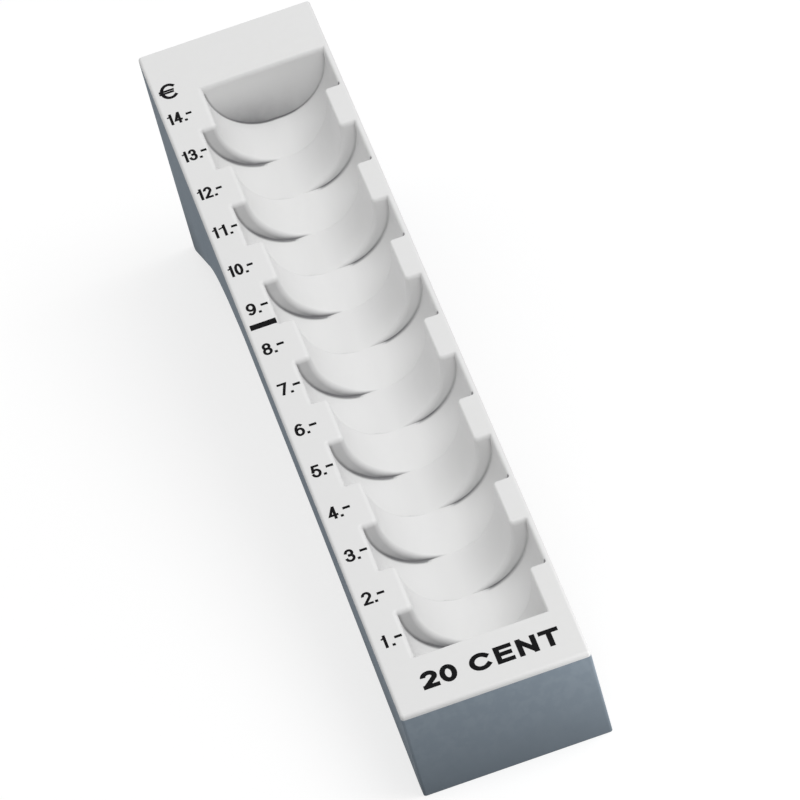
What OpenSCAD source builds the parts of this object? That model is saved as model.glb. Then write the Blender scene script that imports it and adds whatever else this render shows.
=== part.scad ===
// Coin counting tray: a white tray with a stepped coin channel, seated on a grey stand that slopes it.
// Frame: +X to the right, +Y towards the raised far end, +Z up, origin under the middle of the footprint.
// All sizes are in millimetres.

/* [Coin] */
// Diameter of the coin that the channel is made for
coin_d = 22.25; // [19:0.05:25]
// Thickness of one coin
coin_t = 2.14; // [1.7:0.01:2.5]
// Coins that fill one section of the channel
coins_per_section = 5; // [4:1:7]
// Sections in the channel, one for each unit counted
section_count = 14; // [10:1:18]

/* [Channel] */
// Play between a coin's rim and the channel wall
coin_play = 0.3; // [0.2:0.025:0.8]
// Sideways shift from one section to the next
section_shift = 2.8; // [2:0.1:4]
// Depth below the top face at which the channel's sides start to bend
axis_depth = 0.55; // [0.2:0.05:2]
// Width of the flat along the channel's floor, on which the coins stand
floor_flat = 2; // [1:0.1:3]
// Thickness of the moulded wall round the channel
channel_wall = 1.2; // [1:0.1:1.6]
// Radius on the channel's long top edges
lip_r = 1.2; // [1.1:0.1:1.6]
// Depth to which that rounding reaches down the channel's sides
lip_depth = 0.95; // [0.5:0.05:1]

/* [Top plate] */
// Margin left of the channel, which carries the scale
left_margin = 5.9; // [4:0.1:10]
// Margin right of the channel
right_margin = 1.2; // [1.2:0.1:4]
// Margin between the near edge and the channel
near_margin = 12.1; // [8:0.1:16]
// Margin between the channel and the far edge
far_margin = 13.6; // [8:0.1:16]
// Thickness of the top plate
plate_t = 0.8; // [0.7:0.1:2]
// Radius on the plate's outer top edges
edge_r = 0.5; // [0.3:0.1:0.6]

/* [Stand] */
// Slope of the tray
incline = 10; // [7:0.5:13]
// Height of the near wall with the plate on it
near_h = 16.8; // [15:0.1:24]
// Thickness of the stand's walls
stand_wall = 1.6; // [1.2:0.1:2.2]
// Depth of the side walls below the top face along the middle
skirt_depth = 12; // [9:0.5:15]
// Distance from the near edge to where the side walls reach that depth
ramp_l = 55; // [40:1:70]
// Radius where the ramp runs into the level stretch
ramp_r = 250; // [100:10:300]
// Slope of the front edge of the far leg
leg_angle = 23; // [20:0.5:32]
// Radius at the top of the arch
arch_r = 30; // [10:1:45]
// Length of the flat under the near wall
near_foot = 3; // [2.4:0.1:6]
// Length of the flat under the far leg
far_foot = 6; // [3:0.1:10]
// Radius on the upright corners
corner_r = 0.5; // [0.3:0.1:1.4]

/* [Snap fit] */
// Gap between the tray's locating ribs and the stand's walls
fit_gap = 0.2; // [0.1:0.05:0.4]
// Thickness of the locating ribs
rib_t = 1.2; // [1:0.1:2]
// Depth of the locating ribs below the plate
rib_h = 5; // [4:0.1:7]
// Radius of the snap beads on the ribs
bead_r = 0.8; // [0.6:0.05:0.9]
// Length of the snap beads
bead_l = 16; // [8:1:24]
// Play of a bead in its groove
bead_play = 0.15; // [0.1:0.05:0.25]

/* [Hidden] */
$fn = 96;
arc_steps = 12;
reach = 400;
// Length by which neighbouring hollows run into each other, so that no skin is left between them
overlap = 0.02;
tray_color = "whitesmoke";
stand_color = [0.45, 0.51, 0.55];

section_half = coin_d / 2 + coin_play;
bend_r = section_half - floor_flat / 2;
shell_r = bend_r + channel_wall;
section_l = coin_t * coins_per_section;
top_w = left_margin + 2 * section_half + section_shift + right_margin;
top_l = near_margin + section_count * section_l + far_margin;
channel_x = left_margin + section_half + section_shift / 2 - top_w / 2;
right_section_x = channel_x + section_shift / 2;

// The point s along the top face from the near edge and d below it, as [distance back, height]
function below_top(s, d) = [
    s * cos(incline) + d * sin(incline),
    near_h + s * sin(incline) - d * cos(incline)
];

far_top = below_top(top_l, 0);
far_h = far_top.y;
footprint_l = far_top.x + far_h * tan(incline);
near_y = -footprint_l / 2;

// Depth at which the round underside of the channel has drawn in clear of the stand's right wall
wall_room = top_w / 2 - stand_wall - fit_gap - right_section_x - floor_flat / 2;
cheek_depth = max(2 * plate_t, axis_depth + sqrt(max(0, shell_r ^ 2 - wall_room ^ 2)));

// Top of the arch, where the level underside of a side wall meets the front edge of the leg
leg_toe = [footprint_l - far_foot, 0];
leg_run = [-cos(leg_angle), sin(leg_angle)];
slope_run = [cos(incline), sin(incline)];
ramp_top = below_top(ramp_l, skirt_depth);
arch_top = ramp_top + slope_run * cross(leg_toe - ramp_top, leg_run) / cross(slope_run, leg_run);

bead_drop = rib_h / 2;
bead_near = below_top(0, plate_t + bead_drop).y;

// Direction from one point to another as a unit vector
function toward(from, to) = (to - from) / norm(to - from);

// Points of the arc of radius r that rounds the corner b between a and c
function corner_arc(a, b, c, r) =
    let (
        to_a = toward(b, a),
        to_c = toward(b, c),
        half = acos(to_a * to_c) / 2,
        centre = b + toward([0, 0], to_a + to_c) * r / sin(half),
        from = b + to_a * r / tan(half) - centre,
        till = b + to_c * r / tan(half) - centre,
        start = atan2(from.y, from.x),
        turn = (atan2(till.y, till.x) - start + 900) % 360 - 180,
        angles = [for (k = [0 : arc_steps]) start + turn * k / arc_steps]
    )
    [for (angle = angles) centre + r * [cos(angle), sin(angle)]];

// Places children in the frame of the top face: Y up the slope from the near edge, Z square to the face
module on_slope() {
    translate([0, near_y, near_h]) rotate([incline, 0, 0]) children();
}

// Extrudes an outline of [distance back from the near face, height] across the width w, centred
module across(w) {
    translate([-w / 2, near_y, 0]) rotate([90, 0, 90]) linear_extrude(w) children();
}

// Extrudes an outline of [X, height above the top face] along the slope, past both ends
module along_slope() {
    on_slope() translate([0, reach, 0]) rotate([90, 0, 0]) linear_extrude(2 * reach) children();
}

// Plan outline with its two front corners rounded, from y = 0 backwards
module front_rounded_plan() {
    translate([-top_w / 2, corner_r]) square([top_w, reach]);
    translate([corner_r - top_w / 2, 0]) square([top_w - 2 * corner_r, reach]);
    for (side = [-1, 1]) translate([side * (top_w / 2 - corner_r), corner_r]) circle(corner_r);
}

// Everything inside the outer faces: an upright near face and a far face square to the top
module envelope() {
    intersection() {
        translate([0, near_y, -reach / 2]) linear_extrude(reach) front_rounded_plan();
        on_slope() translate([0, top_l, -reach / 2])
            rotate(180) linear_extrude(reach) front_rounded_plan();
    }
}

// The space between the near wall and the far wall, drawn back from both by a gap
module between_end_walls(gap) {
    back = (stand_wall + gap) / cos(incline);
    across(top_w) polygon([
        [stand_wall + gap, -reach],
        [stand_wall + gap, reach],
        [footprint_l - back - reach * tan(incline), reach],
        [footprint_l - back + reach * tan(incline), -reach]
    ]);
}

// Snap beads on the near and the far rib, or their grooves when play is given
module snap_beads(play) {
    l = bead_l + 2 * play;
    translate([0, near_y + stand_wall + fit_gap, bead_near])
        rotate([0, 90, 0]) cylinder(r = bead_r + play, h = l, center = true);
    on_slope() translate([0, top_l - stand_wall - fit_gap, -plate_t - bead_drop])
        rotate([0, 90, 0]) cylinder(r = bead_r + play, h = l, center = true);
}

// Upright slabs that hold every second section from the first one given, longer by extra at both ends
module section_slabs(first, extra) {
    for (i = [first : 2 : section_count - 1]) {
        start = near_y + (near_margin + i * section_l) * cos(incline);
        translate([-reach / 2, start - extra, -reach / 2])
            cube([reach, section_l * cos(incline) + 2 * extra, reach]);
    }
}

// Outline with a flat floor between two bends of radius r, and straight sides above them
module trough_outline(r) {
    for (side = [-1, 1]) translate([side * floor_flat / 2, -axis_depth]) circle(r);
    translate([-floor_flat / 2, -axis_depth - r]) square([floor_flat, 2 * r]);
    translate([-floor_flat / 2 - r, -axis_depth]) square([floor_flat + 2 * r, r]);
}

// Outline of a section's hollow, with rounded lips
module hollow_outline() {
    trough_outline(bend_r);
    for (side = [0, 1]) mirror([side, 0]) difference() {
        translate([section_half - lip_r, -lip_depth]) square([2 * lip_r, 2 * lip_r]);
        translate([section_half + lip_r, -lip_depth]) circle(lip_r);
    }
}

// Outline of the moulded wall round a section, up into the plate
module shell_outline() {
    difference() {
        trough_outline(shell_r);
        translate([-2 * shell_r, -plate_t / 2]) square([4 * shell_r, 2 * shell_r]);
    }
}

// Every second section with the outline drawn: those set to the left (first 0) or to the right (first 1)
module stepped(first, extra) {
    intersection() {
        along_slope() translate([channel_x + (first - 0.5) * section_shift, 0]) children();
        section_slabs(first, extra);
    }
}

// Flat top with rounded outer edges
module top_plate() {
    near_under = [0, near_h - plate_t / cos(incline)];
    near_top = [0, near_h];
    far_under = below_top(top_l, plate_t);
    intersection() {
        envelope();
        across(2 * top_w) polygon(concat(
            [near_under],
            corner_arc(near_under, near_top, far_top, edge_r),
            corner_arc(near_top, far_top, far_under, edge_r),
            [far_under]
        ));
        along_slope() {
            translate([-top_w / 2, -reach]) square([top_w, reach - edge_r]);
            translate([edge_r - top_w / 2, -reach]) square([top_w - 2 * edge_r, reach]);
            for (side = [-1, 1]) translate([side * (top_w / 2 - edge_r), -edge_r]) circle(edge_r);
        }
    }
}

// Right side of the tray, which closes the right-hand pockets and sits in a notch of the stand
module cheek() {
    intersection() {
        along_slope() translate([top_w / 2 - right_margin, -cheek_depth])
            square([right_margin, cheek_depth - plate_t / 2]);
        between_end_walls(fit_gap);
    }
}

// Ribs under the plate that drop inside the stand's near and far walls
module locating_ribs() {
    rib_w = top_w - 2 * (stand_wall + fit_gap);
    intersection() {
        along_slope() translate([-rib_w / 2, -plate_t - rib_h]) square([rib_w, rib_h + plate_t / 2]);
        difference() {
            between_end_walls(fit_gap);
            between_end_walls(fit_gap + rib_t);
        }
    }
    snap_beads(0);
}

module channel_tray() {
    color(tray_color) difference() {
        union() {
            top_plate();
            intersection() {
                envelope();
                for (first = [0, 1]) stepped(first, channel_wall) shell_outline();
            }
            cheek();
            locating_ribs();
        }
        stepped(0, 0) hollow_outline();
        stepped(1, overlap) hollow_outline();
    }
}

// Side view of the stand: upright near wall, sloping top, leaning far wall and the arched lower edge
module side_outline() {
    near_toe = [near_foot, 0];
    polygon(concat(
        [[0, 0], [0, near_h], far_top, [footprint_l, 0], leg_toe],
        corner_arc(leg_toe, arch_top, ramp_top, arch_r),
        corner_arc(arch_top, ramp_top, near_toe, ramp_r),
        [near_toe]
    ));
}

module stand() {
    inner_w = top_w - 2 * stand_wall;
    color(stand_color) difference() {
        intersection() {
            envelope();
            across(top_w) side_outline();
        }
        intersection() {
            between_end_walls(0);
            cube([inner_w, reach, reach], center = true);
        }
        along_slope() translate([-reach / 2, -plate_t]) square([reach, reach]);
        intersection() {
            between_end_walls(0);
            along_slope() translate([top_w / 2 - 2 * stand_wall, -cheek_depth]) square(reach);
        }
        snap_beads(bead_play);
    }
}

channel_tray();
stand();
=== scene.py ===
"""Looks of a coin counting tray: a white stepped coin channel on a blue-grey stand.

Sizes are in millimetres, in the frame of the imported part: +X to the right, +Y towards the raised far end,
+Z up, origin on the table under the middle of the footprint. On the tray itself a place is given as x across,
s up the slope from the near edge and d below the top face.
"""

import logging
import math
from dataclasses import dataclass
from enum import Enum
from typing import Any, Sequence

import bmesh
import bpy
from mathutils import Matrix, Vector


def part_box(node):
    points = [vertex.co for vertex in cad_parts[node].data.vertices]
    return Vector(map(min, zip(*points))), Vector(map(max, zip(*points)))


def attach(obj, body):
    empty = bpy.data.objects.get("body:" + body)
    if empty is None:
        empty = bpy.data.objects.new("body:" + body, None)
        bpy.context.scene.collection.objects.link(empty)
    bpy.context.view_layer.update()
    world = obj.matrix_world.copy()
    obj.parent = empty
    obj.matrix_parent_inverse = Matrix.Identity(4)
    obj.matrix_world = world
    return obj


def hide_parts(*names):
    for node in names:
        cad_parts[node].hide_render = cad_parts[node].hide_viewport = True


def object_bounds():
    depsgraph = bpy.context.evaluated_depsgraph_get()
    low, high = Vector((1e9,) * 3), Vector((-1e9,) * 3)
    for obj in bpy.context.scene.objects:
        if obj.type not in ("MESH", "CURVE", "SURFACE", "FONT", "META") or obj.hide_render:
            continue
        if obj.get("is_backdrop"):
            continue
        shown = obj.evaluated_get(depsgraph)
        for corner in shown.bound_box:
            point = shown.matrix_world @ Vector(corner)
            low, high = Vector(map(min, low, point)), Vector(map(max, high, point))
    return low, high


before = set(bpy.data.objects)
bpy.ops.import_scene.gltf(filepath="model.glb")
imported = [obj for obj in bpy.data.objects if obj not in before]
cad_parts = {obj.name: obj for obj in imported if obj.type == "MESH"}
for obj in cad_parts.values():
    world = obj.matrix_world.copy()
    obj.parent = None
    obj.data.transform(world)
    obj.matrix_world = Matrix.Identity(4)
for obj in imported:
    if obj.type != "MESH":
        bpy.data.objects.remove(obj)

LOG = logging.getLogger("coin_tray")
MM = 0.001
CAD_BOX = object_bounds()

WELD = 0.001 * MM
LEVEL = 1e-9
SMOOTH_ANGLE = math.radians(38)
EDGE_ATTRIBUTE = "worn_edge"
# Painted shade: how much darker the tray is drawn at the feet and faces of the steps, in the corners and low
# on the end walls.
SHADE_ATTRIBUTE = "painted_shade"
FULL_EDGE_TURN = math.radians(35)
LARGE_FACE_WEIGHT = 100
WHITE_LIGHT = (1.0, 1.0, 1.0, 1.0)

Point = tuple[float, float, float]
Flat = tuple[float, float]
Color = tuple[float, float, float]
Vert = bmesh.types.BMVert
Verts = list[Vert]
Ring = dict[str, Verts]


def mix(a: float, b: float, part: float) -> float:
    """Value that lies the given part of the way from a to b."""
    return a + (b - a) * part


def steps_of(count: int) -> list[float]:
    """Even steps from 0 to 1, with both ends."""
    return [i / count for i in range(count + 1)]


def quarter_turns(count: int) -> list[float]:
    """Even turns from 0 to a quarter turn, with both ends."""
    return [part * math.pi / 2 for part in steps_of(count)]


def skin(bm: bmesh.types.BMesh, line: Verts, following: Verts, closed: bool = False) -> None:
    """Adds a strip of faces between two lines of vertices.

    Args:
        bm: The mesh to add to.
        line: The first line.
        following: The line beside it, of the same length.
        closed: Whether both run back into themselves.
    """
    for i in range(len(line) if closed else len(line) - 1):
        j = (i + 1) % len(line)
        bm.faces.new((line[i], line[j], following[j], following[i]))


def object_from(bm: bmesh.types.BMesh, name: str) -> bpy.types.Object:
    """Turns a bmesh into an object at the origin, in the scene."""
    mesh = bpy.data.meshes.new(name)
    bm.to_mesh(mesh)
    bm.free()
    piece = bpy.data.objects.new(name, mesh)
    bpy.context.scene.collection.objects.link(piece)
    return piece


def flatten(piece: bpy.types.Object) -> bpy.types.Mesh:
    """Plain mesh of an object with its modifiers applied."""
    bpy.context.view_layer.update()
    graph = bpy.context.evaluated_depsgraph_get()
    return bpy.data.meshes.new_from_object(piece.evaluated_get(graph), depsgraph=graph)


def repeat_along(piece: bpy.types.Object, count: int, pitch: Vector,
                 material: bpy.types.Material) -> bpy.types.Mesh:
    """Repeats an object in a straight row and welds the copies.

    Args:
        piece: The object to repeat, which is removed.
        count: Copies in the row.
        pitch: Step from one copy to the next, in metres.
        material: The finish of the row.

    Returns:
        The row as a plain mesh.
    """
    tree = bpy.data.node_groups.new(f"{piece.name}_row", "GeometryNodeTree")
    sockets = {}
    for name, kind in (("Shape", "NodeSocketGeometry"), ("Count", "NodeSocketInt"),
                       ("Pitch", "NodeSocketVector"), ("Weld", "NodeSocketFloat"),
                       ("Finish", "NodeSocketMaterial")):
        sockets[name] = tree.interface.new_socket(name=name, in_out="INPUT", socket_type=kind)
    tree.interface.new_socket(name="Row", in_out="OUTPUT", socket_type="NodeSocketGeometry")
    node = {kind: tree.nodes.new(kind) for kind in (
        "NodeGroupInput", "GeometryNodeMeshLine", "GeometryNodeInstanceOnPoints",
        "GeometryNodeRealizeInstances", "GeometryNodeMergeByDistance", "GeometryNodeSetMaterial",
        "NodeGroupOutput")}
    start, line, copies, real, weld, dress, result = node.values()
    link = tree.links.new
    link(start.outputs["Count"], line.inputs["Count"])
    link(start.outputs["Pitch"], line.inputs["Offset"])
    link(line.outputs["Mesh"], copies.inputs["Points"])
    link(start.outputs["Shape"], copies.inputs["Instance"])
    link(copies.outputs["Instances"], real.inputs["Geometry"])
    link(real.outputs["Geometry"], weld.inputs["Geometry"])
    link(start.outputs["Weld"], weld.inputs["Distance"])
    link(weld.outputs["Geometry"], dress.inputs["Geometry"])
    link(start.outputs["Finish"], dress.inputs["Material"])
    link(dress.outputs["Geometry"], result.inputs["Row"])
    row = piece.modifiers.new("row", "NODES")
    row.node_group = tree
    row[sockets["Count"].identifier] = count
    row[sockets["Pitch"].identifier] = pitch
    row[sockets["Weld"].identifier] = WELD
    row[sockets["Finish"].identifier] = material
    mesh = flatten(piece)
    bpy.data.objects.remove(piece)
    return mesh


class Merge(Enum):
    """Way in which one closed mesh is merged with another."""

    JOIN = "UNION"
    CUT = "DIFFERENCE"


def merge(piece: bpy.types.Object, other: bpy.types.Object, way: Merge) -> None:
    """Joins another closed object to a piece, or cuts it from the piece, as a live modifier."""
    boolean = piece.modifiers.new(way.name.lower(), "BOOLEAN")
    boolean.operation = way.value
    boolean.solver = "EXACT"
    boolean.object = other


def finish_piece(piece: bpy.types.Object, material: bpy.types.Material) -> bpy.types.Object:
    """Smooths a piece over its rounded edges, keeps its flats flat and gives it its finish.

    Args:
        piece: The piece, with any modifiers live.
        material: Its finish.

    Returns:
        The same piece with a plain mesh.
    """
    mesh = flatten(piece)
    piece.modifiers.clear()
    old = piece.data
    piece.data = mesh
    bpy.data.meshes.remove(old)
    drop_slivers(mesh)
    mesh.shade_smooth()
    mesh.set_sharp_from_angle(angle=SMOOTH_ANGLE)
    mark_edges(mesh)
    normals = piece.modifiers.new("normals", "WEIGHTED_NORMAL")
    normals.keep_sharp = True
    normals.weight = LARGE_FACE_WEIGHT
    final = flatten(piece)
    piece.modifiers.clear()
    piece.data = final
    bpy.data.meshes.remove(mesh)
    final.materials.clear()
    final.materials.append(material)
    return piece


def drop_slivers(mesh: bpy.types.Mesh) -> None:
    """Merges vertices that coincide, dissolves faces without area and drops what carries no face."""
    bm = bmesh.new()
    bm.from_mesh(mesh)
    bmesh.ops.remove_doubles(bm, verts=bm.verts, dist=WELD)
    bmesh.ops.dissolve_degenerate(bm, edges=bm.edges, dist=WELD)
    loose = [vert for vert in bm.verts if not vert.link_faces]
    bmesh.ops.delete(bm, geom=loose, context="VERTS")
    bm.to_mesh(mesh)
    bm.free()


def mark_edges(mesh: bpy.types.Mesh) -> None:
    """Stores how strongly the surface turns outwards at each vertex, for wear on the edges."""
    bm = bmesh.new()
    bm.from_mesh(mesh)
    values = []
    for vert in bm.verts:
        turns = [edge.calc_face_angle_signed(0.0) for edge in vert.link_edges if len(edge.link_faces) == 2]
        values.append(min(1.0, sum(max(0.0, turn) for turn in turns) / FULL_EDGE_TURN))
    bm.free()
    layer = mesh.attributes.new(EDGE_ATTRIBUTE, "FLOAT", "POINT")
    layer.data.foreach_set("value", values)


class Slot(Enum):
    """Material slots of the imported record."""

    TRAY = "tray_white"
    STAND = "stand_grey"


class Turn(Enum):
    """Way in which the channel steps, going up the slope."""

    TO_RIGHT = 1
    TO_LEFT = -1


class End(Enum):
    """End of the tray, with the direction in which it faces along the slope."""

    NEAR = -1
    FAR = 1


@dataclass(frozen=True)
class Slope:
    """Frame of the sloping top face."""

    near_y: float
    near_h: float = 16.8
    incline: float = 10.0

    @property
    def run(self) -> Vector:
        """Unit vector up the slope."""
        angle = math.radians(self.incline)
        return Vector((0.0, math.cos(angle), math.sin(angle)))

    @property
    def normal(self) -> Vector:
        """Unit vector square to the top face, upwards."""
        angle = math.radians(self.incline)
        return Vector((0.0, -math.sin(angle), math.cos(angle)))

    def place(self, x: float, s: float, d: float, upright: bool = True) -> Vector:
        """Point in the part's frame, in metres.

        Args:
            x: Place across the tray.
            s: Distance up the slope from the near edge, at the top face.
            d: Depth below the top face.
            upright: Whether the depth goes straight down, or square to the face.

        Returns:
            The point, in metres.
        """
        if upright:
            s -= d * math.tan(math.radians(self.incline))
        base = Vector((x, self.near_y, self.near_h))
        return (base + self.run * s - self.normal * d) * MM


@dataclass(frozen=True)
class Step:
    """One sideways step of the channel."""

    s: float
    turn: Turn


@dataclass(frozen=True)
class Stretch:
    """A stretch of the channel that is swept in one go, with the end that a wall closes, if any."""

    start: float
    end: float
    steps: tuple[Step, ...] = ()
    wall: End | None = None


@dataclass(frozen=True)
class Row:
    """One line of the tray's cross-section, which the sweep carries along the channel.

    Attributes:
        left: Its place (x, d) in the sections that are set to the left.
        right: Its place (x, d) in the sections that are set to the right.
        side: 1 on the channel's left wall, -1 on the right wall, drawing near 0 on the floor.
        out: How far it lies outside the wall of the hollow.
        convex: Radius on the outer edges of the steps.
        concave: Radius in the inner corners of the steps.
        spread: How far the line spreads along the slope at a step, where it doesn't follow the step.
        shade: How strong the painted shade is at the foot of a step and on its face.
        soil: How much more painted shade lies in the corner of a step that faces up the slope.
    """

    left: Flat
    right: Flat
    side: float
    out: float
    convex: float
    concave: float
    spread: float = 0.0
    rub: Flat = (0.0, 0.0)
    soil: float = 0.0


@dataclass(frozen=True)
class StepPoint:
    """One point of a step's outline.

    Attributes:
        climbed: Share of the step's height that is climbed.
        along: Place along the slope.
        foot: Share of the painted shade at the foot that is found here.
        face: Share of the painted shade on the face that is found here.
    """

    climbed: float
    along: float
    foot: float
    face: float


@dataclass(frozen=True)
class RubRange:
    """How strong the painted shade is at the foot of a step and on its face, at the lip and at the floor."""

    foot: Flat
    face: Flat


@dataclass
class ChannelTray:
    """The white moulding: a flat top with the stepped channel, its margins, right cheek and locating ribs."""

    slope: Slope
    coin_d: float = 22.25
    coin_t: float = 2.14
    coins_per_section: int = 5
    sections: int = 14
    coin_play: float = 0.3
    section_shift: float = 2.8
    axis_depth: float = 0.55
    floor_flat: float = 2.0
    channel_wall: float = 1.2
    left_margin: float = 5.9
    right_margin: float = 1.2
    near_margin: float = 12.1
    far_margin: float = 13.6
    plate_t: float = 0.8
    edge_r: float = 0.6
    corner_r: float = 0.62
    stand_wall: float = 1.6
    fit_gap: float = 0.2
    rib_t: float = 1.2
    rib_h: float = 5.0
    lip_depth: float = 0.9
    lip_left: float = 0.9
    lip_right: float = 0.5
    lip_end: float = 0.5
    tab_left_r: float = 0.95
    tab_right_r: float = 0.8
    inner_r: float = 0.12
    round_share: float = 0.6
    shell_corner_r: float = 0.3
    cheek_slot: float = 0.15
    tab_spread: float = 1.0
    seam: float = 0.01
    arc_steps: int = 6
    lip_steps: int = 6
    bend_steps: int = 28
    wall_middle: float = 0.35
    wall_rings: tuple[float, ...] = (0.985, 0.955, 0.9, 0.78, 0.6, 0.4, 0.2)
    # Painted shade in the channel: along the foot of the end walls, low on them, at the steps' feet and
    # faces, and in the corners behind the right-hand tabs.
    wall_foot: float = 0.8
    wall_clean: float = 0.12
    wall_rub: Flat = (1.6, 0.5)
    rub_left: RubRange = RubRange(foot=(1.0, 2.4), face=(0.56, 1.6))
    rub_right: RubRange = RubRange(foot=(0.5, 1.9), face=(0.08, 0.8))
    rub_band: float = 0.45
    rub_floor: float = 0.65
    rub_corner: float = 0.8
    rub_least: float = 0.5
    rub_fade: int = 2
    corner_soil: float = 4.0
    soil_top: float = 0.25
    soil_depth: float = 2.0

    @property
    def section_l(self) -> float:
        """Length of one section."""
        return self.coin_t * self.coins_per_section

    @property
    def section_half(self) -> float:
        """Half the width of the hollow."""
        return self.coin_d / 2 + self.coin_play

    # Painted shade that darkens towards the foot, a little uneven.
    @property
    def bend_r(self) -> float:
        """Radius between the hollow's sides and its flat floor."""
        return self.section_half - self.floor_flat / 2

    @property
    def shell_r(self) -> float:
        """Radius of the bends on the outside of the wall round the hollow."""
        return self.bend_r + self.channel_wall

    @property
    def half_w(self) -> float:
        """Half the width of the tray."""
        return (self.left_margin + 2 * self.section_half + self.section_shift + self.right_margin) / 2

    @property
    def top_l(self) -> float:
        """Length of the top face up the slope."""
        return self.near_margin + self.sections * self.section_l + self.far_margin

    @property
    def left_x(self) -> float:
        """Painted shade in the corners of the channel, on its step faces and low on its end walls, a little
        uneven.
        """
        return self.left_margin + self.section_half - self.half_w

    @property
    def right_x(self) -> float:
        """Middle of the sections that are set to the right."""
        return self.left_x + self.section_shift

    def boundary(self, index: int) -> float:
        """Place along the slope where the given number of sections ends."""
        return self.near_margin + index * self.section_l

    def middle(self, index: int) -> float:
        """Middle of a section along the slope, counted from 1."""
        return self.boundary(index) - self.section_l / 2

    def plain_row(self, x: float, d: float, side: int, right_d: float | None = None) -> Row:
        """A row that runs straight along the tray, beside the left or the right lip."""
        left_side = side > 0
        out = self.lip_left if left_side else self.lip_right
        tab = self.tab_left_r if left_side else self.tab_right_r
        right = (x, d if right_d is None else right_d)
        return Row((x, d), right, side, out, tab - out, self.inner_r + out, self.tab_spread)

    def stepped_row(self, x: float, d: float, side: float, out: float, tab: float, inner: float) -> Row:
        """A row that follows the steps of the channel, with x measured from the section's middle."""
        places = (self.left_x + x, d), (self.right_x + x, d)
        # Painted shade: darker at the steps' feet and faces, more on the left wall, with more in the corners
        # behind the right-hand tabs.
        marks = self.rub_left if side > 0 else self.rub_right
        reached = min(1.0, d / self.lip_depth)
        rub = (reached * mix(*marks.foot, 1 - abs(side)), reached * mix(*marks.face, 1 - abs(side)))
        soil = 0.0 if side > 0 else self.corner_soil * min(1.0, d / self.soil_top)
        return Row(*places, side, out, tab, inner, rub=rub, soil=soil * max(0.0, 1 - d / self.soil_depth))

    def edge_rows(self, side: int) -> list[Row]:
        """Rows of the rounded outer top edge, from the side up to the top face."""
        rows = []
        for turn in quarter_turns(self.arc_steps):
            inset = self.edge_r * (1 - math.cos(turn))
            depth = self.edge_r * (1 - math.sin(turn))
            rows.append(self.plain_row(-side * (self.half_w - inset), depth, side))
        return rows

    def lip_place(self, part: float, width: float) -> Flat:
        """Distance out of the wall and depth of a point on a lip, from the top face down to the wall."""
        turn = part * math.pi / 2
        return width * (1 - math.sin(turn)), self.lip_depth * (1 - math.cos(turn))

    def lip_rows(self, side: int) -> list[Row]:
        """Rows of the rounded lip on one side of the channel, from the top face down to the wall."""
        width = self.lip_left if side > 0 else self.lip_right
        tab = self.tab_left_r if side > 0 else self.tab_right_r
        rows = []
        for part in steps_of(self.lip_steps):
            out, depth = self.lip_place(part, width)
            x = -side * (self.wall_half(self.lip_depth) + out)
            rows.append(self.stepped_row(x, depth, side, out, tab - out, self.inner_r + out))
        return rows

    def wall_half(self, depth: float) -> float:
        """Half the width of the hollow at a depth."""
        return self.floor_flat / 2 + math.sqrt(self.bend_r ** 2 - (depth - self.axis_depth) ** 2)

    def bend(self, radius: float, side: int, depth: float) -> list[Point]:
        """Points of one bend of the channel, from its wall down to the flat floor.

        Args:
            radius: Radius of the bend.
            side: 1 for the left bend, -1 for the right one.
            depth: Depth at which the bend starts.

        Returns:
            Points as (side value of a row, x from the section's middle, d).
        """
        start = math.asin((depth - self.axis_depth) / radius)
        points = []
        for part in steps_of(self.bend_steps):
            angle = mix(start, math.pi / 2, part)
            x = -side * (self.floor_flat / 2 + radius * math.cos(angle))
            points.append((side * math.cos(angle), x, self.axis_depth + radius * math.sin(angle)))
        return points

    def hollow_rows(self) -> list[Row]:
        """Rows of the hollow between the two lips."""
        left, right = (self.bend(self.bend_r, side, self.lip_depth)[1:] for side in (1, -1))
        rows = []
        for side, x, depth in left + right[::-1]:
            tab = mix(self.tab_right_r, self.tab_left_r, (1 + side) / 2)
            rows.append(self.stepped_row(x, depth, side, 0.0, tab, self.inner_r))
        return rows

    @property
    def cheek_x(self) -> float:
        """Inner face of the right cheek."""
        return self.half_w - self.right_margin

    def shell_depth(self, x: float) -> float:
        """Depth at which the outside of the wall round a right-hand section passes a place across."""
        return self.axis_depth + math.sqrt(self.shell_r ** 2 - (x - self.right_x - self.floor_flat / 2) ** 2)

    @property
    def slot_depth(self) -> float:
        """Depth at which the wall round a right-hand section leaves the cheek."""
        return self.shell_depth(self.cheek_x - self.cheek_slot)

    @property
    def cheek_depth(self) -> float:
        """Depth of the right cheek, where the wall round the channel has drawn in clear of the stand."""
        return self.shell_depth(self.half_w - self.stand_wall - self.fit_gap)

    def shell_rows(self) -> list[Row]:
        """Rows of the outside of the wall round the channel, from the right to the left."""
        left = self.bend(self.shell_r, 1, self.plate_t)[::-1]
        right = self.bend(self.shell_r, -1, self.plate_t)
        right_in_cheek = self.bend(self.shell_r, -1, self.slot_depth)
        corner = self.shell_corner_r
        rows = []
        for (side, x, d), (_, right_x, right_d) in zip(right + left, right_in_cheek + left):
            places = (self.left_x + x, d), (self.right_x + right_x, right_d)
            rows.append(Row(*places, side, self.channel_wall, corner, corner))
        return rows

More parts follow.
